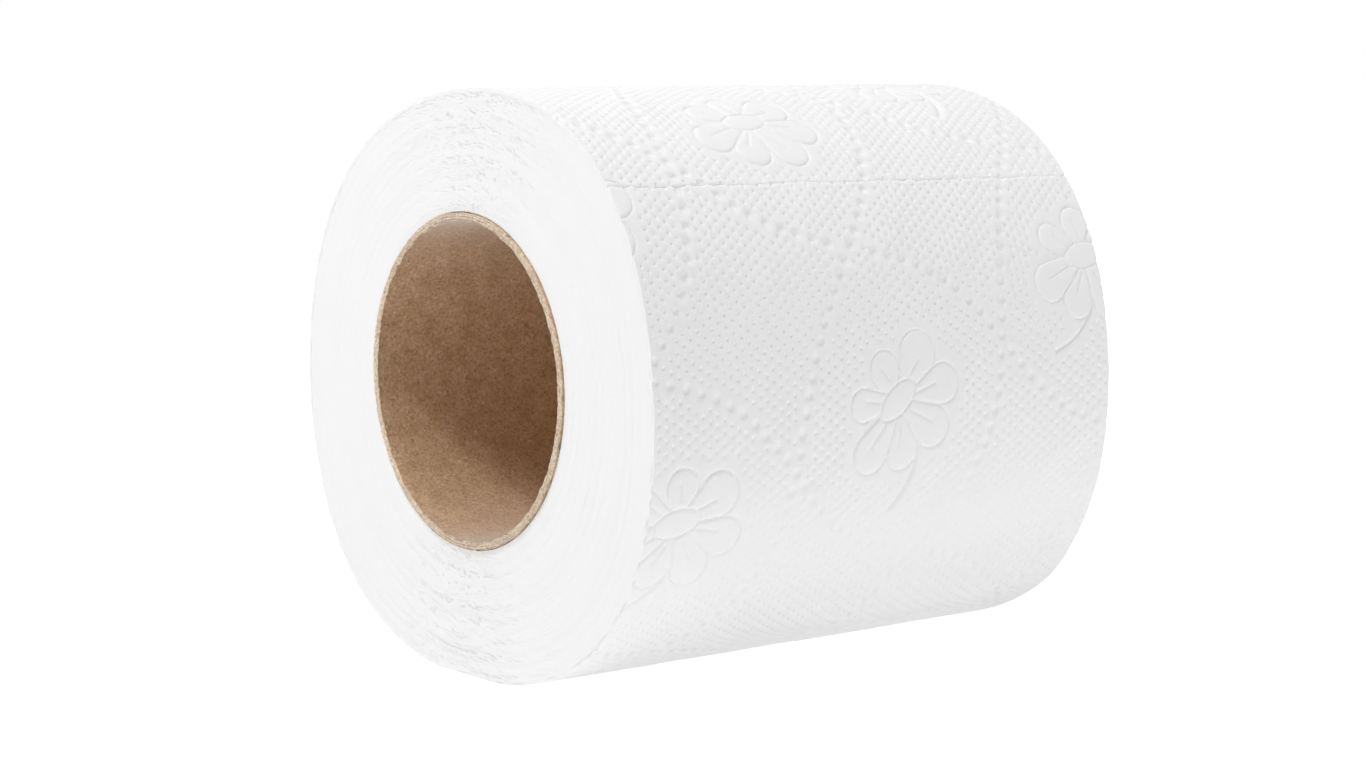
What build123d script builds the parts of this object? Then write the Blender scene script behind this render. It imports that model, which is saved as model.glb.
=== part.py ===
from build123d import *
import os
from math import atan, ceil, cos, degrees, pi, radians, sin

# A soft toilet roll lying on its side, with its axis along X and its loose end at the back
# Origin: on the floor, under the middle of the roll; lengths in millimetres, angles in degrees
# An angle round the roll starts at the back (+Y) and rises over the top (+Z, at 90)

# Driving dimensions: paper
paper_width = 90.0          # width of the wound paper, end to end
roll_diameter = 93.0        # mean diameter over the outer sheet
sheet_length = 125.0        # from one perforation line to the next
sheet_thickness = 0.45      # one embossed sheet, which is the step at the loose end
loose_end_angle = -15.5     # where the outer sheet ends, just under the middle of the back
end_rounding = 1.2          # soft rounding where the outer turns meet the end faces

# Driving dimensions: how the soft roll is out of round
# A bulge repeats 2, 3 or 4 times a turn; the angle is where its first crest points
oval_height = 0.8
oval_angle = -12.0
egg_height = 0.45
egg_angle = -18.0
square_height = 0.9
square_angle = 42.0
flat_width = 14.0           # flat spot that the roll rests on
flat_depth = 0.4            # how far the roll is pressed in there
flat_settling = 8.0         # angle beyond each edge of the flat spot over which the sheet lifts clear
sag_back = -0.8             # centre of the outer turns from the core's axis, along Y
sag_down = 1.2              # how far the outer turns have sunk below the core's axis

# Driving dimensions: turns that show on the end faces
turns_drawn = 7             # one drawn turn stands for about twelve real ones
turn_line_width = 0.7
turn_line_depth = 0.35
turn_line_margin = 1.0      # plain paper outside the first turn line and inside the last

# Driving dimensions: perforation
slit_length = 2.5
slit_width = 0.35
slit_depth = 0.5
bond_length = 1.0           # uncut paper between two slits
pressed_width = 1.6         # narrow band that the perforating blade presses straight

# Driving dimensions: cardboard core
core_diameter = 51.0        # outside
core_wall = 1.2
core_plies = 2              # strips of board wound on each other
ply_line_width = 0.16
ply_line_depth = 0.2
core_slide = 0.5            # how far the core has slid towards the near end (-X)
core_gap = 0.05             # between the core and the first turn of paper

# Fineness of the curves that follow a formula
point_step = 15.0           # largest angle between two points of a curve round the roll
rounding_steps = 3          # flats across the rounding of an end
overshoot = 0.2             # how far a cutter stands out of the face that it cuts

# Sizes that follow from the driving dimensions
roll_radius = roll_diameter / 2
core_radius = core_diameter / 2
perforation_turn = degrees(sheet_length / roll_radius)
pressed_half_angle = degrees(pressed_width / 2 / roll_radius)


def bulge(angle):
    """How far the outer turns stand out of a true circle at an angle."""
    oval = oval_height * cos(2 * radians(angle - oval_angle))
    egg = egg_height * cos(3 * radians(angle - egg_angle))
    square = square_height * cos(4 * radians(angle - square_angle))
    return oval + egg + square


def free_radius(angle):
    """Radius of the outer sheet, which winds in by its own thickness over one turn."""
    turns_from_end = (angle - loose_end_angle) / 360
    return roll_radius + bulge(angle) - sheet_thickness * turns_from_end


# The core's axis is at y = 0 and the flat spot at z = 0
outer_center_z = free_radius(270) - flat_depth
core_center_z = outer_center_z + sag_down
flat_half_angle = degrees(atan(flat_width / 2 / outer_center_z))


def outer_radius(angle):
    """Radius of the outer sheet as it lies, pressed flat underneath."""
    from_below = abs(angle - 270)
    beyond_flat = min(1, max(0, from_below - flat_half_angle) / flat_settling)
    pressed = cos(pi / 2 * beyond_flat) ** 2
    if pressed < 1e-9:
        return free_radius(angle)
    floor_radius = outer_center_z / cos(radians(from_below))
    return free_radius(angle) + pressed * (floor_radius - free_radius(angle))


def outer_point(angle, inset=0.0):
    """Point of the outer sheet as y and z, moved in by an inset."""
    radius = outer_radius(angle) - inset / max(cos(radians(angle - 270)), cos(radians(flat_half_angle)))
    return (sag_back + radius * cos(radians(angle)), outer_center_z + radius * sin(radians(angle)))


def along_sheet(angle, inset):
    """Direction of the outer sheet at an angle, the way it winds inwards."""
    before = outer_point(angle - 0.5, inset)
    after = outer_point(angle + 0.5, inset)
    return (after[0] - before[0], after[1] - before[1])


def perforation_angles():
    """Angle of each perforation line that the loose end doesn't cover."""
    angles = []
    angle = loose_end_angle + perforation_turn
    while angle + pressed_half_angle < loose_end_angle + 360:
        angles.append(angle)
        angle += perforation_turn
    return angles


def straight_stretches():
    """Start and end angles of the stretches that are straight: the flat spot and the pressed bands."""
    flat = (270 - flat_half_angle, 270 + flat_half_angle)
    bands = [(angle - pressed_half_angle, angle + pressed_half_angle) for angle in perforation_angles()]
    clear = [band for band in bands if band[1] < flat[0] or band[0] > flat[1]]
    return sorted(clear + [flat])


def sheet_curve(first_angle, last_angle, inset):
    """Smooth curve along the outer sheet from one angle to another."""
    count = max(2, ceil((last_angle - first_angle) / point_step))
    step = (last_angle - first_angle) / count
    points = [outer_point(first_angle + step * i, inset) for i in range(count + 1)]
    ends = [along_sheet(first_angle, inset), along_sheet(last_angle, inset)]
    return Spline(points, tangents=ends, tangent_scalars=[1, 1])


def paper_section(x, inset):
    """Face across the wound paper, from the top of the step at the loose end round to its foot."""
    outline = []
    angle = loose_end_angle
    for first, last in straight_stretches():
        outline.append(sheet_curve(angle, first, inset))
        outline.append(Line(outer_point(first, inset), outer_point(last, inset)))
        angle = last
    outline.append(sheet_curve(angle, loose_end_angle + 360, inset))
    outline.append(Line(outer_point(loose_end_angle + 360, inset), outer_point(loose_end_angle, inset)))
    across = Plane(origin=(x, 0, 0), x_dir=(0, 1, 0), z_dir=(1, 0, 0))
    return across * make_face(outline)


def wound_paper():
    """All the turns of paper as one solid with rounded ends."""
    rounding = []
    for step in range(rounding_steps + 1):
        quarter = pi / 2 * step / rounding_steps
        x = paper_width / 2 - end_rounding * (1 - cos(quarter))
        rounding.append((x, end_rounding * (1 - sin(quarter))))
    near = [paper_section(-x, inset) for x, inset in rounding]
    far = [paper_section(x, inset) for x, inset in reversed(rounding)]
    return loft(near + far, ruled=True)


def turn_line_path(side_x, shift):
    """Curve that winds from the outer sheet to the core, moved outwards by a shift."""
    first_radius = roll_radius - end_rounding - flat_depth - turn_line_margin
    last_radius = core_radius + turn_line_margin
    count = round(turns_drawn * 360 / point_step)
    points = []
    for i in range(count + 1):
        share = 1 - i / count
        angle = loose_end_angle + turns_drawn * 360 * i / count
        radius = last_radius + share * (first_radius - last_radius + bulge(angle)) + shift
        y = share * sag_back + radius * cos(radians(angle))
        z = core_center_z - share * sag_down + radius * sin(radians(angle))
        points.append((side_x, y, z))
    return Spline(points)


def turn_line_cutter(end):
    """V-shaped cutter for the line between the turns on one end, where end is -1 or 1."""
    half_width = turn_line_width / 2 * (1 + overshoot / turn_line_depth)
    face_x = end * paper_width / 2
    bottom = turn_line_path(face_x - end * turn_line_depth, 0)
    inner = turn_line_path(face_x + end * overshoot, -half_width)
    outer = turn_line_path(face_x + end * overshoot, half_width)
    faces = [Face.make_surface_from_curves(a, b) for a, b in ((bottom, inner), (inner, outer), (outer, bottom))]
    for at in (0, 1):
        corners = [path @ at for path in (bottom, inner, outer)]
        faces.append(Face(Wire(Polyline(*corners, close=True).edges())))
    return Solid(Shell(faces))


def perforation_cutters():
    """Slits of every perforation line that shows."""
    slit_pitch = slit_length + bond_length
    slit_count = int((paper_width - 2 * end_rounding) / slit_pitch)
    slits = []
    for angle in perforation_angles():
        y, z = outer_point(angle)
        line = Pos(0, y, z) * Rot(angle - 90, 0, 0)
        for i in range(slit_count):
            x = (i - (slit_count - 1) / 2) * slit_pitch
            slits.append(line * Pos(x, 0, 0) * Box(slit_length, slit_width, 2 * slit_depth))
    return slits


def along_x(y, z):
    """Plane whose normal is the roll's axis."""
    return Plane(origin=(0, y, z), x_dir=(0, 1, 0), z_dir=(1, 0, 0))


def make_paper_roll():
    bore = along_x(0, core_center_z) * Cylinder(core_radius + core_gap, 2 * paper_width)
    roll = wound_paper() - bore
    roll -= turn_line_cutter(-1)
    roll -= turn_line_cutter(1)
    roll -= perforation_cutters()
    return Pos(core_slide / 2, 0, 0) * roll


def make_core_tube():
    """Tube of wound board, with the joints between its plies showing on the cut ends."""
    tube = Cylinder(core_radius, paper_width) - Cylinder(core_radius - core_wall, 2 * paper_width)
    for ply in range(1, core_plies):
        joint_radius = core_radius - core_wall * ply / core_plies
        line = Plane.XZ * Pos(joint_radius, paper_width / 2) * Polygon(
            (-ply_line_width / 2, 0), (ply_line_width / 2, 0), (0, -ply_line_depth), align=None
        )
        ring = revolve(line, Axis.Z)
        tube -= [ring, mirror(ring, Plane.XY)]
    return Pos(-core_slide / 2, 0, 0) * (along_x(0, core_center_z) * tube)


os.makedirs("parts", exist_ok=True)
export_step(make_paper_roll(), "parts/paper_roll.step")
export_step(make_core_tube(), "parts/core_tube.step")
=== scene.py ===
from math import ceil, cos, pi, radians, sin

import bpy
import numpy as np
from mathutils import Matrix, Vector
from mathutils.geometry import delaunay_2d_cdt


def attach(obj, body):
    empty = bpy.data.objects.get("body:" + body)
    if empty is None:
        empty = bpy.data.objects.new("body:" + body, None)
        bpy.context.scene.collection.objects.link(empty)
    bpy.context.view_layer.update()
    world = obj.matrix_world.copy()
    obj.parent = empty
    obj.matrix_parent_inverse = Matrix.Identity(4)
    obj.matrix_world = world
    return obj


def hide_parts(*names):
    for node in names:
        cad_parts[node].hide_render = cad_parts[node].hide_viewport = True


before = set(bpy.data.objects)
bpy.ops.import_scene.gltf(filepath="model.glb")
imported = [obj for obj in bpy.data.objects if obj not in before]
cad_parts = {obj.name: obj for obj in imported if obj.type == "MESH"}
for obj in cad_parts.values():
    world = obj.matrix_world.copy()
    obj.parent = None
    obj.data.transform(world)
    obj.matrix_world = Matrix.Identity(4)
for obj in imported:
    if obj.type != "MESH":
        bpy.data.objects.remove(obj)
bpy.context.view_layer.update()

# Lengths are in millimetres and angles in degrees until a mesh is made; the scene is in metres
MM = 0.001
SEED = 11
rng = np.random.default_rng(SEED)

# The roll, with the sizes that its solids have
# An angle round the roll starts at the back (+Y) and rises over the top (+Z, at 90)
paper_width = 90.0
roll_diameter = 93.0
sheet_length = 125.0
sheet_thickness = 0.45
loose_end_angle = -15.5
bulges = ((2, 0.8, -12.0), (3, 0.45, -18.0), (4, 0.9, 42.0))    # times a turn, height, first crest
flat_width = 14.0
flat_depth = 0.4
flat_settling = 8.0
sag_back = -0.8
sag_down = 1.2
core_diameter = 51.0
core_wall = 1.2
core_slide = 0.5
core_gap = 0.05

# Where the outer sheets lie otherwise than their solid
end_rounding = 0.02         # their edges are cut crisp
contact_softness = 0.1      # how softly they leave the floor
soft_wave = 0.025           # height of the waves all over them
edge_wave = 0.05            # how far a cut edge strays across
edge_keenness = 12          # how close to the edge these waves stay
stands_off = 0.02           # how far they lie off where the floor doesn't press them
floor_relief = 0.35         # share of the embossing that is left where it does
floor_fade = 12.0           # angle beyond the flat spot over which it grows to the full
tucked_in = 0.12            # how far an underside reaches into the turns below
under_relief = 0.7          # shares of the outside's perforation, bulge and rounding
under_sag = 0.5
under_rounding = 0.6

# Loose end
end_lift = 0.75             # how far it stands off
end_lift_reach = 4.0        # along the sheet
end_unevenness = 0.6
corner_press = 0.3          # how far its near corner is pressed in
corner_reach = 9.0          # across the sheet

# Loose paper low on the front: a bulge, a hollow above it, and a creased fold across its far end
sag_depth = 1.8
sag_near = (-15.0, 5.0)     # where the bulge starts across the sheet, and how softly
sag_far = (38.0, 4.0)       # where it ends
swell_along = 194.5
swell_reach = 6.5
hollow_share = 0.08         # of the bulge's height
hollow_along = 184.0
hollow_reach = 4.0
crease_height = 0.12
crease_width = 0.8
crease_across = (12.0, 22.0)        # start and length
crease_along = (184.0, 14.0)

# Turns of paper under the outer one
inner_turns = 83
steps_in_turn = 272
loose_columns = 94.0        # angle at which the turns stand apart most, as they do opposite it
column_sway = 4.0           # how far this angle strays from turn to turn
column_narrowness = 5
least_loose = 0.10          # how much the turns stand apart elsewhere
step_crowding = 14.3        # how far the steps move towards the columns, for more detail there
groove_depth = 0.03         # between two turns on an end face
groove_roughness = 0.11     # how much deeper a groove is where the turns stand apart
gap_level = 0.9             # noise above which they do
gap_gain = 1.6
gap_most = 1.3
edge_roughness = 0.012      # how far a turn's edge stands out or in
scuff_angle = 165.0         # where the edges are roughest
scuff_reach = 30.0
turn_wave = 0.0175          # how far whole turns stand out or in
face_wave = 0.028           # how uneven an end face is from one side of the roll to the other

# Embossed pattern: small dots in rows, dotted lines in a trellis, and a flower in each of its fields
dot_across = 2.6            # pitch of the small dots across the sheet
dot_along = 1.72            # along the sheet; every second row is shifted by half a pitch
dot_skew = 0.055            # how much the rows of dots lean
dot_stray = 0.025
dot_radius = 0.37
dot_slope = 0.18            # radius about halfway down a small dot's side
dot_depth = 0.22
big_dot_pitch = 2.7
big_dot_stray = 0.06
big_dot_crowding = 0.62     # least share of the pitch between two big dots where lines cross
big_dot_radius = 0.76
big_dot_floor = 0.53
big_dot_depth = 0.19
field_across = np.array([41.0, -17.3])      # from one field of the trellis to the next, across and along
field_along = np.array([13.3, 48.0])
field_numbers = range(-9, 10)
trellis_lines = (           # start, period, distance beside it, swing to each side and share at the crest
    (np.array([9.5, 97.0]), field_along - field_across, 1.6, 3.0, 0.323),
    (np.array([-42.0, 110.0]), field_along + field_across, 4.1, 3.3, 0.47),
)
periods_before = 7          # periods of a line back from its start, and on from it
periods_after = 8
flower_start = np.array([0.3, 158.8])       # a flower's centre, across and along the sheet
odd_turn = 30               # every second flower is turned by this, and shifted
odd_shift = (0.9, -2.6)     # across, and along for only half of them
petals = (                  # heading of each petal, its length from the flower's centre and its half width
    (-58, 11.4, 3.5), (32, 11.5, 3.3), (124, 12.4, 3.2), (-12, 12.4, 3.1),
    (177, 9.2, 2.5), (-117, 8.1, 2.8), (82, 10.7, 3.0),
)
petal_root = (1.8, 1.1)     # place of a petal's round root from the centre, and its radius
petal_dome = 0.08
dome_reach = 0.9            # from an outline to the full height
petal_edge = 0.25           # width over which a petal hides the one behind it
outline_depth = 0.23
outline_width = 0.17
heart_length = 4.1          # half of the oval in the middle
heart_width = 2.1
heart_heading = -39
heart_edge = 0.3            # width over which it hides the petals
heart_dome = 0.7            # share of a petal's
heart_line = 0.8            # share of the outline's depth, as for the next two
vein_line = 0.9
stem_line = 1.5
vein_start = 3.4            # from the centre
vein_share = 0.62           # of the petal's length at which a vein ends
vein_share_step = 0.04      # how much further the next one of three ends
vein_bend = 0.5
vein_width = 0.18
vein_tip_width = 0.28
stem_width = 0.24
stem_curve = np.array([[4.1, 7.2], [4.3, 12.6], [0.1, 16.9]])       # start, pull and end, from the centre
flower_reach = 20.0         # beyond it a flower and its stem change nothing
flower_search = 24.0
flower_margin = 1.5         # round a flower, without small dots
big_dot_margin = 1.3        # round a flower, without big dots
dot_margin = 1.55           # round a big dot, without small dots

# How sharp the dots are: full on top, and worn low on the front
full_sharpness = 1.4
worn_bands = ((0.55, 176.0, 22.0), (0.45, 178.0, 9.0))     # how much, where along the sheet, reach
sharpness_wave = (0.12, 0.11, 0.05)         # height, radians for each millimetre across and along

# Perforation
slit_length = 2.5
bond_length = 1.0
slit_overrun = 0.12         # how far an opening reaches past a slit's end
slit_fade = 0.25
slit_gap = 0.02
slit_gap_reach = 0.2
slit_depth = 0.18
slit_reach = 0.12           # how far a slit's edge bends down
bond_depth = 0.03
ridge_height = 0.05         # of the sheet pushed up beside the line
ridge_away = 0.6
ridge_reach = 0.35
stray_reach = 1.2           # how far the sheet beside it follows a line that strays

# Fineness of the outer sheets
cut_step = 0.35             # between two points along a perforation line or the loose end
side_step = 0.5             # between two points along an end face
rows_by_cut = (0.14, 0.28, 0.5, 0.8)        # distances of the rows of points beside them
rows_by_side = (0.12, 0.3, 0.55, 0.9)
dot_rings = ((dot_slope, 6), (dot_radius, 9))       # radius and points of each ring round a dot
big_dot_rings = ((big_dot_floor, 11), (big_dot_radius, 14))
vein_tip_rings = ((0.25, 6),)
ring_twist = 0.3
outline_step = 0.32         # between two points along an outline
outline_offsets = (0.0, 0.2, -0.2, 0.45, -0.5)      # of the rows of points along an outline
stroke_offsets = (0.0, 0.2, -0.2, 0.42, -0.42)      # and along a vein or stem
outline_overlap = 0.3       # how far an outline is followed under a petal in front
heart_points = 66
heart_plain = 0.8           # how far inside the heart's outline rows of points still lie
fill_step = 0.9             # between two points where the sheet is plain
fill_dot_margin = 0.62
fill_big_dot_margin = 1.0
dot_search = 1.2            # reaches of the searches for the nearest dot
big_dot_search = 1.6
border_margin = 0.10
least_spacing = 0.115       # between two points
under_steps = (4.0, 2.5)    # between two points of an underside, across and along
sharp_angle = 75            # between two faces, from which an edge is shown sharp
flat_tolerance = 1e-7       # of lengths and areas in the flat

# Board of the core
ply_count = 3
core_steps = 360            # points round the core
bore_rings = 14
rim_rings = (0.35, 0.9)     # depths of the rings by the rims
ply_dip = 0.22              # groove between two plies on a cut end
ply_tear = 0.02
cut_rag = 0.06              # roughness of a cut end
rim_tear = 0.08
rim_setback = 0.12
bore_wave = 0.03

# Colours, each as a place from nought to one and its tone
paper_tones = ((0.3, (0.902, 0.902, 0.905)), (0.7, (0.912, 0.912, 0.914)))
board_tones = ((0.3, (0.50, 0.305, 0.16)), (0.7, (0.65, 0.45, 0.28)))
cut_tones = ((0.3, (0.62, 0.47, 0.33)), (0.7, (0.80, 0.66, 0.50)))
speck_tones = (             # these darken and lighten the board
    (0.30, (0.52, 0.48, 0.44)), (0.46, (0.92, 0.92, 0.92)),
    (0.58, (1.08, 1.08, 1.08)), (0.70, (1.45, 1.48, 1.5)),
)

# Floor, light and camera; places and sizes of lamps are in metres
floor_half = 3.0
floor_color = (0.55, 0.55, 0.55, 1)
floor_glow = 0.46           # the floor is a lit table, which brightens the roll's underside
floor_lift = (0.30, 0.48)   # added where the floor is seen straight, by the roll and far from it
floor_lift_reach = (0.15, 0.60)
even_light = 0.18           # from all round
lamps = (                   # name, place, side and power
    ("top_lamp", (-0.10, 0.16, 0.82), 0.30, 1.8),
    ("high_end_lamp", (-0.40, 0.00, 0.78), 0.20, 2.95),
    ("end_lamp", (-0.66, 0.22, 0.30), 0.20, 1.15),
    ("front_lamp", (0.25, -0.75, 0.25), 0.40, 2.0),
    ("back_lamp", (0.60, 0.70, 0.40), 0.40, 1.5),
)
middle_height = 45.0        # of the roll's middle, for the lamps and the camera
camera_azimuth = -38.07
camera_elevation = 6.65
camera_distance = 452.25
shift_right = 2.51          # how far the roll's middle is to the right of the picture's, and above it
shift_up = 3.55
focal_pixels = 2823.7
frame_pixels = 1366
film_width = 36.0

# Sizes that follow from these
roll_radius = roll_diameter / 2
core_radius = core_diameter / 2
paper_bore = core_radius + core_gap
half_width = paper_width / 2
paper_x = core_slide / 2
core_x = -core_slide / 2
turn_pitch = (roll_radius - sheet_thickness - paper_bore) / inner_turns
perforation_turn = np.degrees(sheet_length / roll_radius)


# Forms that are used more than once
def bell(away, reach):
    """One at nought, fading out on both sides."""
    return np.exp(-(away / reach) ** 2)


def eased(share):
    """One up to nought, falling smoothly to nought at one."""
    return np.cos(pi / 2 * np.clip(share, 0, 1)) ** 2


def ripple(across, along, waves):
    """Sum of waves over the sheet, each given by its height, two pitches and start."""
    total = np.zeros_like(across)
    for height, pitch_across, pitch_along, start in waves:
        total += height * np.sin(2 * pi * (across / pitch_across + along / pitch_along + start))
    return total


def make_waves(height, shortest, longest, count):
    """Seeded waves for ripple, whose pitches lie between two lengths."""
    waves = []
    for _ in range(count):
        pitch = rng.uniform(shortest, longest)
        heading = rng.uniform(0, 2 * pi)
        waves.append((height / count ** 0.5, pitch / cos(heading), pitch / sin(heading), rng.uniform(0, 1)))
    return waves


def sideways(way):
    """A direction in the flat, turned by a quarter."""
    return np.array([-way[1], way[0]])


def grid(across, along):
    """Every point of a grid in the flat."""
    return np.stack([part.ravel() for part in np.meshgrid(across, along)], 1)


def quads(a, b, c, d):
    """Two triangles for each quad, whose corners are given in order."""
    return np.concatenate([np.stack([a, b, c], 1), np.stack([a, c, d], 1)])


soft_waves = make_waves(soft_wave, shortest=14, longest=40, count=7)
edge_waves = make_waves(edge_wave, shortest=3, longest=12, count=6)


# Form of the roll
def bulge(angle):
    """How far the outer turns stand out of a true circle."""
    return sum(height * np.cos(times * np.radians(angle - crest)) for times, height, crest in bulges)


def free_radius(angle):
    """Radius of the outer turn before the floor presses it."""
    return roll_radius + bulge(angle) - sheet_thickness * (angle - loose_end_angle) / 360


outer_center_z = free_radius(270.0) - flat_depth
core_center_z = outer_center_z + sag_down
flat_half_angle = np.degrees(np.arctan(flat_width / 2 / outer_center_z))


def pressed_in(angle):
    """How far the floor presses the outer turn in."""
    from_below = np.abs((angle - 90) % 360 - 180)
    share = eased((from_below - flat_half_angle) / flat_settling)
    floor_radius = outer_center_z / np.cos(np.radians(np.minimum(from_below, 60)))
    turned = (angle - loose_end_angle) % 360 + loose_end_angle
    too_low = free_radius(turned) - floor_radius
    return share * 0.5 * (too_low + np.sqrt(too_low ** 2 + contact_softness ** 2))


def turn_point(angle, depth):
    """Point y, z of a turn that lies at a depth under a true circle of the roll's diameter."""
    share = 1 - depth / (roll_radius - paper_bore)
    radius = roll_radius - depth + share * bulge(angle) - share ** 3 * pressed_in(angle)
    y = share * sag_back + radius * np.cos(np.radians(angle))
    z = core_center_z - share * sag_down + radius * np.sin(np.radians(angle))
    return y, z


# Distance along the outer sheet from its loose end, against the angle
table_steps = 14400
table_angles = np.linspace(loose_end_angle, loose_end_angle + 360, table_steps + 1)
table_radius = free_radius(table_angles) - pressed_in(table_angles)
table_y = sag_back + table_radius * np.cos(np.radians(table_angles))
table_z = outer_center_z + table_radius * np.sin(np.radians(table_angles))
table_along = np.concatenate([[0], np.cumsum(np.hypot(np.diff(table_y), np.diff(table_z)))])
sheet_end = table_along[-1]


def sheet_place(along):
    """Points y, z of the outer sheet, its outward normals and its angles."""
    y, z, angle = (np.interp(along, table_along, table) for table in (table_y, table_z, table_angles))
    step = 0.4
    ahead = np.clip(along + step, 0, sheet_end)
    behind = np.clip(along - step, 0, sheet_end)
    dy, dz = (
        np.interp(ahead, table_along, table) - np.interp(behind, table_along, table)
        for table in (table_y, table_z)
    )
    length = np.hypot(dy, dz)
    return y, z, dz / length, -dy / length, angle


# The embossed pattern in the flat: across from the roll's middle, and along from the loose end
class Flower:
    """A flower of the pattern, turned by an angle, with its petals from the front to the back."""

    def __init__(self, center, turn, has_stem):
        self.center = center
        self.turn = turn
        self.has_stem = has_stem
        self.petals = [(radians(heading + turn), length, half) for heading, length, half in petals]
        self.heart_heading = radians(heart_heading + turn)

    def local(self, points, heading):
        """Points in a frame whose first axis points along a heading from the centre."""
        away = points - self.center
        out = away[:, 0] * cos(heading) + away[:, 1] * sin(heading)
        beside = -away[:, 0] * sin(heading) + away[:, 1] * cos(heading)
        return out, beside

    def placed(self, out, beside, heading):
        """Points of such a frame, put on the sheet."""
        return np.stack([
            self.center[0] + out * cos(heading) - beside * sin(heading),
            self.center[1] + out * sin(heading) + beside * cos(heading),
        ], 1)

    def petal_distances(self, points):
        """Distance to each petal's outline, negative inside."""
        return [
            round_wedge_distance(*self.local(points, heading), length, half)
            for heading, length, half in self.petals
        ]

    def heart_distance(self, points):
        """Distance to the outline of the oval in the middle, negative inside."""
        return oval_distance(*self.local(points, self.heart_heading), heart_length, heart_width)

    def veins(self):
        """Short strokes on the petals, as start and end points."""
        strokes = []
        for i, (heading, length, _) in enumerate(self.petals):
            way = np.array([cos(heading), sin(heading)])
            bend = sideways(way) * vein_bend * (-1) ** i
            share = vein_share + vein_share_step * (i % 3)
            strokes.append((self.center + way * vein_start, self.center + way * share * length + bend))
        return strokes

    def stem_parts(self):
        """The curved stem as short strokes, or none."""
        if not self.has_stem:
            return []
        share = np.linspace(0, 1, 12)[:, None]
        start, pull, end = stem_curve
        curve = (1 - share) ** 2 * start + 2 * share * (1 - share) * pull + share ** 2 * end
        points = self.placed(curve[:, 0], curve[:, 1], radians(self.turn))
        return list(zip(points, points[1:]))


def round_wedge_distance(out, beside, length, half):
    """Distance to a shape that widens with straight sides from a small round root to a round tip."""
    root_place, root = petal_root
    reach = length - half - root_place
    slope = (root - half) / reach
    straight = (1 - slope ** 2) ** 0.5
    out, beside = out - root_place, np.abs(beside)
    along_side = -slope * beside + straight * out
    inner = np.hypot(out, beside) - root
    outer = np.hypot(out - reach, beside) - half
    side = straight * beside + slope * out - root
    return np.where(along_side < 0, inner, np.where(along_side > straight * reach, outer, side))


def oval_distance(x, y, half_x, half_y):
    """Nearly the distance to an ellipse's outline, negative inside."""
    least_slope = 0.02      # holds in the very middle
    ring = np.hypot(x / half_x, y / half_y)
    slope = np.hypot(x / half_x ** 2, y / half_y ** 2)
    return ring * (ring - 1) / np.maximum(slope, least_slope)


def segment_distance(points, start, end):
    """Distance of points to a straight stroke."""
    way = end - start
    share = np.clip(((points - start) @ way) / (way @ way), 0, 1)
    return np.linalg.norm(points - start - share[:, None] * way, axis=1)


def on_sheet(places, beside, first, beyond):
    """Whether places lie after a first one, and not too far beside the sheet or beyond its end."""
    across, along = np.transpose(places)
    return (np.abs(across) < half_width + beside) & (along > first) & (along < sheet_end + beyond)


def make_flowers():
    """Every flower that touches the sheet, one in each field of the trellis."""
    flowers = []
    for i in field_numbers:
        for j in field_numbers:
            odd = (i + j) % 2
            center = flower_start + i * field_across + j * field_along
            center = center + np.array([odd_shift[0], odd_shift[1] * (i % 2)]) * odd
            if on_sheet(center, beside=13, first=-15, beyond=15):
                flowers.append(Flower(center, odd_turn * odd, not odd or i % 2))
    return flowers


def trellis_dots():
    """Places of the big dots along both families of wavy lines."""
    places = []
    for start, period, middle, swing, crest in trellis_lines:
        length = np.linalg.norm(period)
        side = sideways(period / length)
        side *= np.sign(side[np.abs(side).argmax()])
        count = round(length / big_dot_pitch)
        for i in field_numbers:
            for step in range(-periods_before * count, periods_after * count):
                share = step / count
                wave = middle + swing * cos(2 * pi * (share - crest))
                places.append(start + i * field_across + period * share + side * wave)
    places = np.array(places)
    places += rng.normal(0, big_dot_stray, places.shape)
    places = places[on_sheet(places, beside=0.4, first=0.8, beyond=3)]
    return thinned(places, big_dot_pitch * big_dot_crowding)


def small_dots():
    """Places of the small dots, before any is left out."""
    spare_rows = 20         # for the lean of the rows
    columns = ceil(paper_width / dot_across) + 2
    rows = ceil(sheet_end / (dot_along / 2)) + spare_rows
    places = []
    for row in range(-spare_rows, rows):
        shift = dot_across / 2 * (row % 2)
        for column in range(-columns // 2, columns // 2 + 1):
            across = column * dot_across + shift
            places.append((across, row * dot_along / 2 - dot_skew * across))
    places = np.array(places)
    places += rng.normal(0, dot_stray, places.shape)
    return places[on_sheet(places, beside=0.3, first=1, beyond=1)]


def cells_round(column, row):
    """A cell of a square grid and its eight neighbours."""
    return [(column + dx, row + dy) for dx in (-1, 0, 1) for dy in (-1, 0, 1)]


def thinned(points, spacing):
    """Points with each one dropped that has an earlier one in reach."""
    cells, kept = {}, []
    for index, (x, y) in enumerate(points.tolist()):
        cell = (int(x // spacing), int(y // spacing))
        near = (cells.get(neighbour) for neighbour in cells_round(*cell))
        if all(p is None or (p[0] - x) ** 2 + (p[1] - y) ** 2 >= spacing ** 2 for p in near):
            cells[cell] = (x, y)
            kept.append(index)
    return points[kept]


far_away = 99.0             # stands for a distance that isn't worked out


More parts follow.
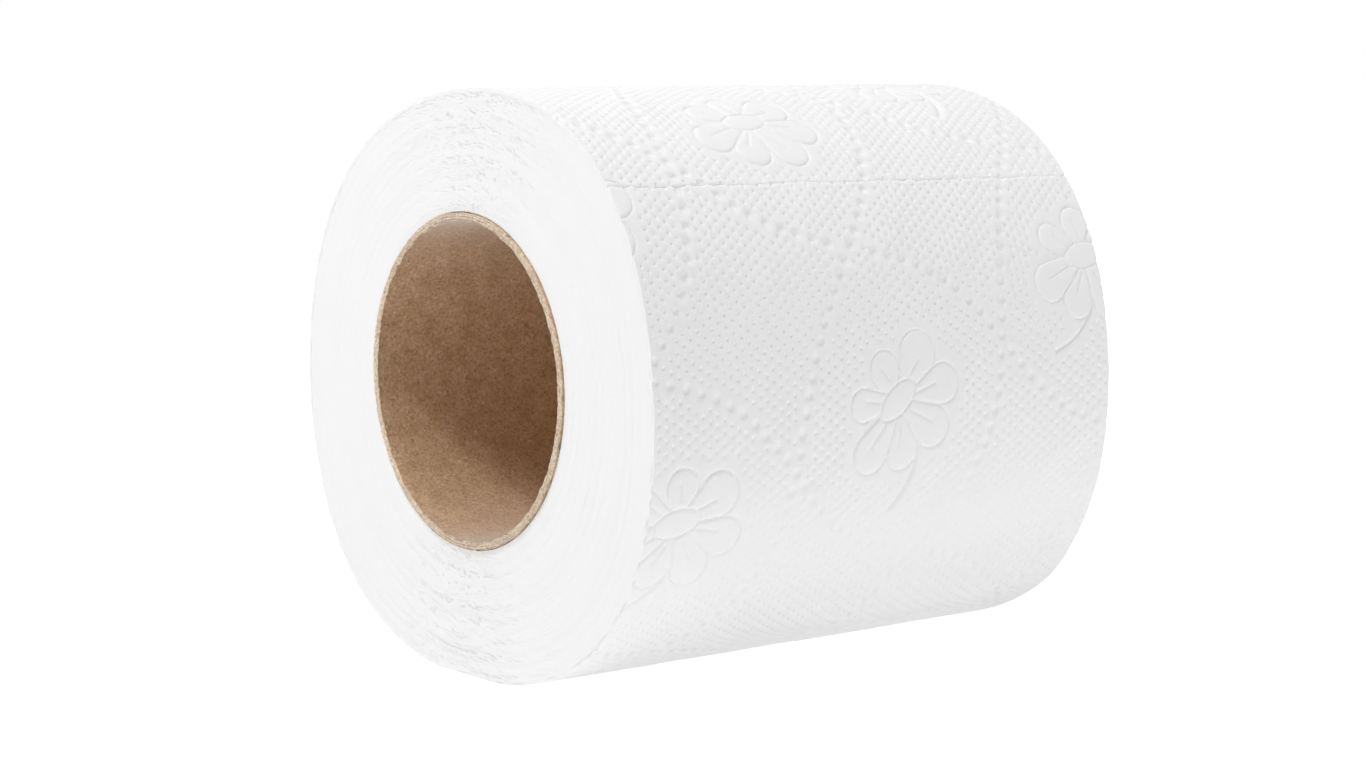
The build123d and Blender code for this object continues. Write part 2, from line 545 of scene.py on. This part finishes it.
def nearest_place(points, places, reach):
    """Distance from each point to the nearest place, searched within a reach."""
    cells = {}
    for index, (x, y) in enumerate(places.tolist()):
        cells.setdefault((int(x // reach), int(y // reach)), []).append(index)
    distance = np.full(len(points), far_away)
    keys = np.floor(points / reach).astype(int)
    order = np.lexsort((keys[:, 1], keys[:, 0]))
    no_cell = -10 ** 6
    starts = np.flatnonzero(np.any(np.diff(keys[order], axis=0, prepend=no_cell), axis=1))
    for block in np.split(order, starts[1:]):
        column, row = keys[block[0]]
        near = [k for cell in cells_round(column, row) for k in cells.get(cell, ())]
        if near:
            apart = points[block][:, None] - places[near][None]
            distance[block] = np.sqrt((apart ** 2).sum(2)).min(1)
    return distance


def flowers_near(points, reach):
    """Each flower with points in reach of its centre, and which points these are."""
    for flower in flowers:
        close = np.linalg.norm(points - flower.center, axis=1) < reach
        if close.any():
            yield flower, close


def flower_clearance(points):
    """Distance from each point to the nearest flower or stem."""
    nearest = np.full(len(points), far_away)
    for flower, close in flowers_near(points, flower_search):
        there = points[close]
        found = [nearest[close], flower.heart_distance(there), *flower.petal_distances(there)]
        found += [segment_distance(there, start, end) for start, end in flower.stem_parts()]
        nearest[close] = np.min(found, axis=0)
    return nearest


flowers = make_flowers()
big_dots = trellis_dots()
big_dots = big_dots[flower_clearance(big_dots) > big_dot_margin]
dots = small_dots()
dots = dots[flower_clearance(dots) > flower_margin]
dots = dots[nearest_place(dots, big_dots, big_dot_search) > dot_margin]


def crispness(across, along):
    """How sharp the dots still are."""
    worn = sum(much * bell(along - place, reach) for much, place, reach in worn_bands)
    height, turn_across, turn_along = sharpness_wave
    return full_sharpness - worn + height * np.sin(across * turn_across + along * turn_along)


def emboss(points):
    """Height of the embossed pattern over the plain sheet."""
    small = nearest_place(points, dots, dot_search)
    big = nearest_place(points, big_dots, big_dot_search)
    pressed = dot_depth * eased(small / dot_radius)
    pressed += big_dot_depth * eased((big - big_dot_floor) / (big_dot_radius - big_dot_floor))
    height = -pressed * crispness(points[:, 0], points[:, 1])
    for flower, close in flowers_near(points, flower_reach):
        height[close] += flower_height(points[close], flower)
    return height


def domed(distance):
    """Height of a petal's soft dome at a distance from its outline."""
    share = np.clip(-distance / dome_reach, 0, 1)
    return petal_dome * share * (2 - share)


def flower_height(points, flower):
    """Height of one flower: raised petals in a pressed outline, an oval heart, veins and a stem."""
    heart = flower.heart_distance(points)
    in_view = np.clip(heart / heart_edge, 0, 1)
    raised = heart_dome * domed(heart)
    pressed = heart_line * bell(heart, outline_width)
    hidden = np.zeros(len(points))
    for petal in flower.petal_distances(points):
        seen = in_view * (1 - hidden)
        raised = np.maximum(raised, domed(petal) * seen)
        pressed = np.maximum(pressed, bell(petal, outline_width) * seen)
        hidden = np.maximum(hidden, np.clip(0.5 - petal / petal_edge, 0, 1))
    for start, end in flower.veins():
        vein = vein_line * bell(segment_distance(points, start, end), vein_width) * in_view
        tip = vein_line * bell(np.linalg.norm(points - end, axis=1), vein_tip_width)
        pressed = np.maximum(pressed, np.maximum(vein, tip))
    for start, end in flower.stem_parts():
        stem = stem_line * bell(segment_distance(points, start, end), stem_width)
        pressed = np.maximum(pressed, stem * (1 - hidden))
    return raised - outline_depth * pressed


def rings_round(places, radii_and_counts):
    """The places and the same rings of points round each."""
    pattern = [np.zeros((1, 2))]
    for radius, count in radii_and_counts:
        turn = ring_twist * radius + 2 * pi * np.arange(count) / count
        pattern.append(radius * np.stack([np.cos(turn), np.sin(turn)], 1))
    return (places[:, None] + np.concatenate(pattern)[None]).reshape(-1, 2)


def wedge_outline(length, half, offset):
    """Points along a petal's outline, moved outwards by an offset, in the petal's own frame."""
    root_place, root = petal_root
    reach = length - half - root_place
    slope = (root - half) / reach
    leaning = np.arcsin(-slope)
    root, half = root + offset, half + offset
    tip_span, root_span = 3.4, 2.6      # in radians, near enough to count the points by
    tip_count = ceil(tip_span * half / outline_step)
    root_count = max(3, ceil(root_span * root / outline_step))
    tip_turn = np.linspace(-pi / 2 - leaning, pi / 2 + leaning, tip_count)
    root_turn = np.linspace(pi / 2 + leaning, 1.5 * pi - leaning, root_count)
    share = np.linspace(0, 1, ceil(reach / outline_step))[1:-1]
    out = root_place - slope * root + share * (reach - slope * (half - root))
    beside = (root + share * (half - root)) * (1 - slope ** 2) ** 0.5
    return np.concatenate([
        np.stack([root_place + reach + half * np.cos(tip_turn), half * np.sin(tip_turn)], 1),
        np.stack([root_place + root * np.cos(root_turn), root * np.sin(root_turn)], 1),
        np.stack([out, -beside], 1),
        np.stack([out, beside], 1),
    ])


def flower_points(flower):
    """Points in rows along a flower's outlines, veins and stem."""
    rows = []
    turn = np.linspace(0, 2 * pi, heart_points, endpoint=False)
    for offset in outline_offsets:
        for i, (heading, length, half) in enumerate(flower.petals):
            row = flower.placed(*wedge_outline(length, half, offset).T, heading)
            in_front = flower.petal_distances(row)[:i]
            rows.append(row[np.min(in_front, axis=0) > -outline_overlap] if in_front else row)
        out = (heart_length + offset) * np.cos(turn)
        beside = (heart_width + offset) * np.sin(turn)
        rows.append(flower.placed(out, beside, flower.heart_heading))
    for start, end in flower.veins() + flower.stem_parts():
        length = np.linalg.norm(end - start)
        side = sideways((end - start) / length)
        share = np.linspace(0, 1, max(3, ceil(length / outline_step)))[:, None]
        rows += [start + (end - start) * share + side * offset for offset in stroke_offsets]
    rows.append(rings_round(np.array([end for _, end in flower.veins()]), vein_tip_rings))
    points = np.concatenate(rows)
    return points[flower.heart_distance(points) >= -heart_plain]


# Sheets of the outer turn
def perforation_shape(across, line):
    """How far a perforation line strays along the sheet, and how open it is."""
    pitch = slit_length + bond_length
    uneven = 0.35 * np.sin(across * 0.21 + line)
    phase = ((across + uneven) / pitch + 0.5 + 0.21 * line) % 1
    middle = np.abs(phase - 0.5) * pitch
    worn = 0.65 + 0.35 * np.sin(across * 0.13 - 1.6 + line) + 0.15 * np.sin(across * 0.71)
    open_here = np.clip((slit_length / 2 + slit_overrun - middle) / slit_fade, 0, 1) * worn
    stray = 0.009 * across + 0.10 * np.sin(across * 0.37 + 2.1 * line) + 0.05 * np.sin(across * 1.9 + line)
    return stray, open_here


def perforated(across, along, first, last):
    """Places along the sheet, moved with its perforation lines, and the height of these lines."""
    height = np.zeros(len(across))
    for place, side in ((first, 1), (last, -1)):
        if 0 < place < sheet_end:
            away = np.abs(along - place)
            stray, open_here = perforation_shape(across, round(place / sheet_length))
            gap = slit_gap * open_here * side * np.exp(-away / slit_gap_reach)
            along = along + stray * bell(away, stray_reach) + gap
            height -= (slit_depth * open_here + bond_depth) * bell(away, slit_reach)
            height += ridge_height * bell(away - ridge_away, ridge_reach)
    return along, height


def sagging(across, along):
    """The loose paper low on the front: a soft hollow, a bulge and a creased fold."""
    (near, near_softness), (far, far_softness) = sag_near, sag_far
    reach = 1 / (1 + np.exp(-(across - near) / near_softness)) / (1 + np.exp((across - far) / far_softness))
    hollow = hollow_share * sag_depth * bell(along - hollow_along, hollow_reach)
    swell = sag_depth * bell(along - swell_along, swell_reach)
    share = np.clip((across - crease_across[0]) / crease_across[1], 0, 1)
    crease = bell(along - crease_along[0] - crease_along[1] * share ** 2, crease_width) * np.sin(pi * share)
    return (swell - hollow) * reach + crease_height * crease


def loose_end_lift(across, along):
    """How far the loose end stands off, unevenly, and is pressed in at its near corner."""
    corner = bell(across + half_width, corner_reach)
    uneven = 1 + end_unevenness * np.sin(across * 0.16 + 0.6)
    lifted = end_lift * uneven * (1 - corner) - corner_press * corner
    return lifted * np.exp(-along / end_lift_reach)


def sheet_surface(points, first, last, under):
    """Flat points put on the roll, on the sheet's outside or its underside, in millimetres."""
    across = points[:, 0]
    along, height = perforated(across, points[:, 1], first, last)
    y, z, normal_y, normal_z, angle = sheet_place(along)
    rounded = np.clip((np.abs(across) - (half_width - end_rounding)) / end_rounding, 0, 1)
    rounding = end_rounding * (1 - np.sqrt(1 - rounded ** 2))
    if under:
        turned = (angle - loose_end_angle) / 360
        thickness = sheet_thickness - (sheet_thickness - turn_pitch) * turned
        height = under_relief * height - thickness - tucked_in
        height += under_sag * sagging(across, along) - under_rounding * rounding
    else:
        off_floor = np.clip((np.abs(angle - 270) - flat_half_angle) / floor_fade, 0, 1)
        height += emboss(points) * (floor_relief + (1 - floor_relief) * off_floor)
        height += (ripple(across, along, soft_waves) + stands_off) * off_floor
        height += sagging(across, along) - rounding
    height += loose_end_lift(across, points[:, 1])
    stray = ripple(along * 0.9, along, edge_waves) * (np.abs(across) / half_width) ** edge_keenness
    return np.stack([paper_x + across + stray, y + normal_y * height, z + normal_z * height], 1)


def sheet_points(first, last):
    """Points of one sheet in the flat: its border in order, and the rest."""
    across = np.linspace(-half_width, half_width, round(paper_width / cut_step) + 1)
    along = np.linspace(first, last, round((last - first) / side_step) + 1)
    border = np.concatenate([
        grid(across, [first])[:-1], grid([half_width], along)[:-1],
        grid(across, [last])[:0:-1], grid([-half_width], along)[:0:-1],
    ])
    by_cut = [place for inward in rows_by_cut for place in (first + inward, last - inward)]
    by_side = [side * (half_width - inward) for inward in rows_by_side for side in (-1, 1)]
    rows = [grid(across, [place])[1:-1] for place in by_cut]
    rows += [grid([place], along)[1:-1] for place in by_side]
    rows.append(rings_round(big_dots, big_dot_rings))
    rows += [flower_points(flower) for flower in flowers]
    rows.append(rings_round(dots, dot_rings))
    fill = grid(np.arange(-half_width, half_width, fill_step), np.arange(first, last, fill_step))
    fill[:, 0] += fill_step / 2 * (np.round(fill[:, 1] / fill_step) % 2)
    clear = nearest_place(fill, dots, dot_search) > fill_dot_margin
    clear &= nearest_place(fill, big_dots, big_dot_search) > fill_big_dot_margin
    rows.append(fill[clear])
    inside = np.concatenate(rows)
    kept = np.abs(inside[:, 0]) < half_width - border_margin
    kept &= (inside[:, 1] > first + border_margin) & (inside[:, 1] < last - border_margin)
    every = thinned(np.concatenate([border, inside[kept]]), least_spacing)
    return border, every[len(border):]


def triangles_of(points):
    """Triangles that fill the flat points, wound to face outwards on the roll."""
    made = delaunay_2d_cdt([Vector(p) for p in points.tolist()], [], [], 0, flat_tolerance, True)
    source = [ids[0] for ids in made[3]]
    triangles = np.array([[source[i] for i in face] for face in made[2]])
    a, b, c = (points[triangles[:, k]] for k in range(3))
    area = (b[:, 0] - a[:, 0]) * (c[:, 1] - a[:, 1]) - (b[:, 1] - a[:, 1]) * (c[:, 0] - a[:, 0])
    triangles[area > 0] = triangles[area > 0][:, ::-1]
    return triangles[np.abs(area) > flat_tolerance]


def mesh_piece(name, points_mm, triangles, material, nodes=(), cut=None, sharp_from=None):
    """A closed mesh as a piece of the object. A cut is a second material and the faces that have it."""
    mesh = bpy.data.meshes.new(name)
    mesh.vertices.add(len(points_mm))
    mesh.vertices.foreach_set("co", (points_mm * MM).astype(np.float32).ravel())
    mesh.loops.add(3 * len(triangles))
    mesh.loops.foreach_set("vertex_index", triangles.astype(np.int32).ravel())
    mesh.polygons.add(len(triangles))
    mesh.polygons.foreach_set("loop_start", np.arange(0, 3 * len(triangles), 3, dtype=np.int32))
    mesh.polygons.foreach_set("use_smooth", np.ones(len(triangles), bool))
    mesh.update()
    if sharp_from is not None:
        mesh.set_sharp_from_angle(angle=radians(sharp_from))
    mesh.materials.append(material)
    if cut is not None:
        mesh.materials.append(cut[0])
        mesh.polygons.foreach_set("material_index", cut[1].astype(np.int32))
    piece = bpy.data.objects.new(name, mesh)
    bpy.context.scene.collection.objects.link(piece)
    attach(piece, "root")
    for node in nodes:
        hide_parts(node)


def make_sheet(name, first, last, material):
    """One sheet of the outer turn as a thin closed shell."""
    border, inside = sheet_points(first, last)
    top = np.concatenate([border, inside])
    bottom = np.concatenate([border, grid(
        np.arange(-half_width + 2, half_width - 1, under_steps[0]),
        np.arange(first + 2, last - 1, under_steps[1]),
    )])
    near = np.arange(len(border))
    following = np.roll(near, -1)
    faces = np.concatenate([
        triangles_of(top),
        triangles_of(bottom)[:, ::-1] + len(top),
        quads(near + len(top), near, following, following + len(top)),
    ])
    points = np.concatenate([
        sheet_surface(top, first, last, under=False), sheet_surface(bottom, first, last, under=True),
    ])
    mesh_piece(name, points, faces, material, sharp_from=sharp_angle)


def sheet_borders():
    """Places along the outer turn where a sheet starts or ends."""
    places = [0.0]
    angle = loose_end_angle + perforation_turn
    while angle < loose_end_angle + 360:
        places.append(float(np.interp(angle, table_angles, table_along)))
        angle += perforation_turn
    return places + [float(sheet_end)]


# Turns under the outer one
def smooth_noise(count, reach):
    """Seeded noise along a line, smooth over a number of steps, with a spread of one."""
    weights = np.hanning(2 * reach + 1)
    line = np.convolve(rng.normal(size=count + 2 * reach), weights, mode="valid")
    return line[:count] / line.std()


def turn_edges(turned, angle, side):
    """How far the edges of the turns, and the grooves between them, stand back from an end face."""
    count = len(turned)
    columns = np.cos(np.radians(angle - loose_columns + column_sway * np.sin(turned * 0.5))) ** 2
    loose = least_loose + columns ** column_narrowness * (0.8 + 0.4 * np.sin(turned * 0.6 + side))
    scuffed = 1 + 2 * bell(angle % 360 - scuff_angle, scuff_reach)
    ragged = smooth_noise(count, 2) * 0.5 * scuffed + smooth_noise(count, 7) * 0.22
    gaps = smooth_noise(count, 1)
    gaps = gaps - 0.5 * (np.roll(gaps, 1) + np.roll(gaps, -1))
    apart = np.clip(gap_gain * (gaps - gap_level), 0, gap_most) * loose
    broad = turn_wave * np.sin(turned * 0.9 + side) + face_wave * np.sin(turned * 0.23 + np.radians(angle))
    edge = edge_roughness * ragged + broad
    return edge, edge + groove_depth + groove_roughness * apart


def make_wound_turns(material):
    """All the inner turns as one body, with the edge of each turn on both end faces."""
    turn = steps_in_turn
    count = inner_turns * turn + 1
    index = np.arange(count)
    even = np.radians(360 * index / turn + loose_end_angle - loose_columns)
    crowding = step_crowding * (np.sin(2 * even[0]) - np.sin(2 * even))
    turned = index / turn + crowding / 360
    angle = loose_end_angle + 360 * turned
    lines = []
    for side in (-1, 1):
        for half_turn, back in zip((0.0, 0.5), turn_edges(turned, angle, side)):
            depth = sheet_thickness + turn_pitch * (turned + half_turn)
            y, z = turn_point(angle, np.minimum(depth, roll_radius - paper_bore))
            lines.append(np.stack([paper_x + side * (half_width - np.maximum(back, 0)), y, z], 1))
    near_crest, near_groove, far_crest, far_groove = (index + k * count for k in range(4))
    near_start = np.array([near_crest[0], near_groove[0], near_crest[turn]])
    near_stop = np.array([near_groove[-turn - 1], near_crest[-1], near_groove[-1]])
    far_start, far_stop = near_start + 2 * count, near_stop + 2 * count
    faces = np.concatenate([
        quads(near_crest[:-1], near_groove[:-1], near_groove[1:], near_crest[1:]),
        quads(near_groove[:-turn - 1], near_crest[turn:-1], near_crest[turn + 1:], near_groove[1:-turn]),
        quads(far_crest[1:], far_groove[1:], far_groove[:-1], far_crest[:-1]),
        quads(far_groove[1:-turn], far_crest[turn + 1:], far_crest[turn:-1], far_groove[:-turn - 1]),
        quads(near_crest[:turn], near_crest[1:turn + 1], far_crest[1:turn + 1], far_crest[:turn]),
        quads(far_groove[-turn - 1:-1], far_groove[-turn:], near_groove[-turn:], near_groove[-turn - 1:-1]),
        quads(far_start[:-1], far_start[1:], near_start[1:], near_start[:-1]),
        quads(near_stop[:-1], near_stop[1:], far_stop[1:], far_stop[:-1]),
    ])
    mesh_piece("wound_turns", np.concatenate(lines), faces, material, ("paper_roll",))


# Cardboard core
def smooth_loop(reach):
    """Seeded noise round the core, with a spread of one."""
    line = rng.normal(size=core_steps)
    wrapped = np.concatenate([line[-reach:], line, line[:reach]])
    smooth = np.convolve(wrapped, np.hanning(2 * reach + 1), mode="valid")
    return smooth / smooth.std()


def cut_end(side):
    """Rings over one cut end of the board, from the outside to the bore."""
    rings = []
    last = 4 * ply_count
    for k in range(last + 1):
        share = k / last
        at_rim = k in (0, last)
        dip = ply_dip * (0.5 - 0.5 * cos(2 * pi * ply_count * share)) ** 3
        rag = cut_rag * smooth_loop(1) + cut_rag * smooth_loop(8)
        torn = rim_tear * smooth_loop(2) if at_rim else ply_tear * smooth_loop(3)
        back = np.abs(rag) + dip + (rim_setback if at_rim else 0)
        radius = core_radius - core_wall * share + (torn if k == last else -np.abs(torn))
        rings.append((side * (half_width - back), np.minimum(radius, core_radius)))
    return rings


def make_core(material, cut_material):
    """The tube of board, with a second material on its cut ends."""
    near, far = cut_end(-1), cut_end(1)
    even_depths = np.linspace(0, paper_width, bore_rings)[1:-1]
    far_rims = [paper_width - depth for depth in reversed(rim_rings)]
    inside = []
    for depth in (*rim_rings, *even_depths, *far_rims):
        radius = core_radius - core_wall + bore_wave * smooth_loop(40)
        inside.append((np.full(core_steps, depth - half_width), radius))
    rings = near + inside + far[::-1]
    turn = np.radians(np.linspace(0, 360, core_steps, endpoint=False))
    points = np.concatenate([
        np.stack([core_x + x, radius * np.cos(turn), core_center_z + radius * np.sin(turn)], 1)
        for x, radius in rings
    ])
    step = np.arange(core_steps)
    after = np.roll(step, -1)
    faces, is_cut = [], []
    for k in range(len(rings)):
        this, following = k * core_steps, (k + 1) % len(rings) * core_steps
        faces.append(quads(this + step, following + step, following + after, this + after))
        cut = k < len(near) - 1 or len(rings) - len(far) <= k < len(rings) - 1
        is_cut.append(np.full(2 * core_steps, cut))
    mesh_piece(
        "core_board_tube", points, np.concatenate(faces), material, ("core_tube",),
        cut=(cut_material, np.concatenate(is_cut)),
    )


# Materials
def connect(tree, node, inputs):
    """Gives a node its inputs, each a value or another node's output."""
    for key, value in inputs.items():
        if isinstance(value, bpy.types.NodeSocket):
            tree.links.new(value, node.inputs[key])
        else:
            node.inputs[key].default_value = value


def add_node(tree, kind, inputs, **settings):
    """A new node with its settings and inputs."""
    node = tree.nodes.new(kind)
    for key, value in settings.items():
        setattr(node, key, value)
    connect(tree, node, inputs)
    return node


def calculated(tree, operation, *values):
    """Result of a calculation with numbers or other nodes' outputs."""
    return add_node(tree, "ShaderNodeMath", dict(enumerate(values)), operation=operation).outputs["Value"]


def noise(tree, **inputs):
    """Noise over the object's own coordinates."""
    inputs["Vector"] = add_node(tree, "ShaderNodeTexCoord", {}).outputs["Object"]
    return add_node(tree, "ShaderNodeTexNoise", inputs).outputs["Fac"]


def colors(tree, value, stops):
    """Colour for a value, by stops with a place and a colour each."""
    ramp = add_node(tree, "ShaderNodeValToRGB", {"Fac": value})
    elements = ramp.color_ramp.elements
    while len(elements) < len(stops):
        elements.new(0.5)
    for element, (place, color) in zip(elements, stops):
        element.position = place
        element.color = (*color, 1)
    return ramp.outputs["Color"]


def bump(tree, height, strength, distance):
    """Normals that follow a height."""
    inputs = {"Height": height, "Strength": strength, "Distance": distance}
    return add_node(tree, "ShaderNodeBump", inputs).outputs["Normal"]


def new_material(name):
    """A material with its node tree and its principled shader."""
    material = bpy.data.materials.new(name)
    material.use_nodes = True
    tree = material.node_tree
    return material, tree, tree.nodes["Principled BSDF"]


def paper_material():
    """Soft white tissue: fine fibres, coarser crumbs and a slightly uneven white."""
    material, tree, shader = new_material("tissue_paper")
    patches = noise(tree, Scale=90.0, Detail=3.0)
    fibres = noise(tree, Scale=2600.0, Detail=4.0, Roughness=0.6)
    crumbs = noise(tree, Scale=700.0, Detail=3.0)
    crumb_share = 1.6
    relief = calculated(tree, "MULTIPLY_ADD", crumbs, crumb_share, fibres)
    connect(tree, shader, {
        "Base Color": colors(tree, patches, paper_tones),
        "Roughness": 0.95, "Specular IOR Level": 0.15, "Sheen Weight": 0.05,
        "Normal": bump(tree, relief, strength=0.35, distance=0.00006),
    })
    return material


def board_material(name, tones):
    """Board between two tones, speckled with dark and light fibres."""
    material, tree, shader = new_material(name)
    cloud = noise(tree, Scale=300.0, Detail=6.0, Roughness=0.7)
    speck = noise(tree, Scale=2300.0, Detail=3.0, Roughness=0.7)
    first_color, second_color, mixed_color = 6, 7, 2        # sockets of the mix node, which share names
    mix = add_node(tree, "ShaderNodeMix", {
        "Factor": 1.0,
        first_color: colors(tree, cloud, tones),
        second_color: colors(tree, speck, speck_tones),
    }, data_type="RGBA", blend_type="MULTIPLY")
    connect(tree, shader, {
        "Base Color": mix.outputs[mixed_color],
        "Roughness": 0.7, "Specular IOR Level": 0.5, "Sheen Weight": 1.0, "Sheen Roughness": 0.4,
        "Normal": bump(tree, speck, strength=0.4, distance=0.00008),
    })
    return material


# Floor, light and camera
def seen_straight(tree):
    """One where a ray comes from the camera, a mirror or glass, and nought elsewhere."""
    ray = add_node(tree, "ShaderNodeLightPath", {}).outputs
    seen = calculated(tree, "MAXIMUM", ray["Is Camera Ray"], ray["Is Glossy Ray"])
    return calculated(tree, "MAXIMUM", seen, ray["Is Transmission Ray"])


def make_floor():
    """A pale floor that runs out of view, lit like a light table."""
    material, tree, shader = new_material("floor_pale")
    place = add_node(tree, "ShaderNodeTexCoord", {}).outputs["Object"]
    away = add_node(tree, "ShaderNodeVectorMath", {0: place}, operation="LENGTH").outputs["Value"]
    by_distance = add_node(tree, "ShaderNodeMapRange", {
        "Value": away,
        "From Min": floor_lift_reach[0], "From Max": floor_lift_reach[1],
        "To Min": floor_lift[0], "To Max": floor_lift[1],
    }).outputs["Result"]
    connect(tree, shader, {
        "Base Color": floor_color, "Roughness": 1.0, "Specular IOR Level": 0.0,
        "Emission Color": (1, 1, 1, 1),
        "Emission Strength": calculated(tree, "MULTIPLY_ADD", seen_straight(tree), by_distance, floor_glow),
    })
    mesh = bpy.data.meshes.new("floor")
    corners = [(x * floor_half, y * floor_half, 0) for x, y in ((-1, -1), (1, -1), (1, 1), (-1, 1))]
    mesh.from_pydata(corners, [], [(0, 1, 2, 3)])
    mesh.materials.append(material)
    floor = bpy.data.objects.new("floor", mesh)
    bpy.context.scene.collection.objects.link(floor)


def make_world():
    """White ground for the camera, and a softer even light for everything else."""
    world = bpy.data.worlds.new("studio")
    bpy.context.scene.world = world
    world.use_nodes = True
    tree = world.node_tree
    strength = add_node(tree, "ShaderNodeMapRange", {
        "Value": seen_straight(tree), "To Min": even_light, "To Max": 1.0,
    }).outputs["Result"]
    connect(tree, tree.nodes["Background"], {"Color": (1, 1, 1, 1), "Strength": strength})


def make_lamp(name, place, side, power):
    """A square soft lamp that points at the middle of the roll."""
    data = bpy.data.lights.new(name, "AREA")
    data.shape = "SQUARE"
    data.size = side
    data.energy = power
    lamp = bpy.data.objects.new(name, data)
    lamp.location = place
    way = Vector((0, 0, middle_height * MM)) - Vector(place)
    lamp.rotation_euler = way.to_track_quat("-Z", "Y").to_euler()
    bpy.context.scene.collection.objects.link(lamp)


def make_camera():
    """The photograph's camera, solved from the roll's outline."""
    azimuth, elevation = radians(camera_azimuth), radians(camera_elevation)
    right = Vector((cos(azimuth), sin(azimuth), 0))
    back = Vector((sin(azimuth) * cos(elevation), -cos(azimuth) * cos(elevation), sin(elevation)))
    up = back.cross(right)
    place = Vector((0, 0, middle_height)) + back * camera_distance - right * shift_right - up * shift_up
    data = bpy.data.cameras.new("camera")
    data.sensor_width = film_width
    data.lens = focal_pixels / frame_pixels * film_width
    data.clip_start, data.clip_end = 0.01, 20
    camera = bpy.data.objects.new("camera", data)
    rows = [(right[k], up[k], back[k], place[k] * MM) for k in range(3)]
    camera.matrix_world = Matrix((*rows, (0, 0, 0, 1)))
    bpy.context.scene.collection.objects.link(camera)
    bpy.context.scene.camera = camera


make_camera()
make_world()
make_floor()
for lamp in lamps:
    make_lamp(*lamp)
paper = paper_material()
make_wound_turns(paper)
make_core(board_material("core_board", board_tones), board_material("core_cut", cut_tones))
borders = sheet_borders()
for number, (first, last) in enumerate(zip(borders, borders[1:]), 1):
    make_sheet("outer_sheet_%d" % number, first, last, paper)

bpy.context.scene.view_settings.view_transform = "Standard"
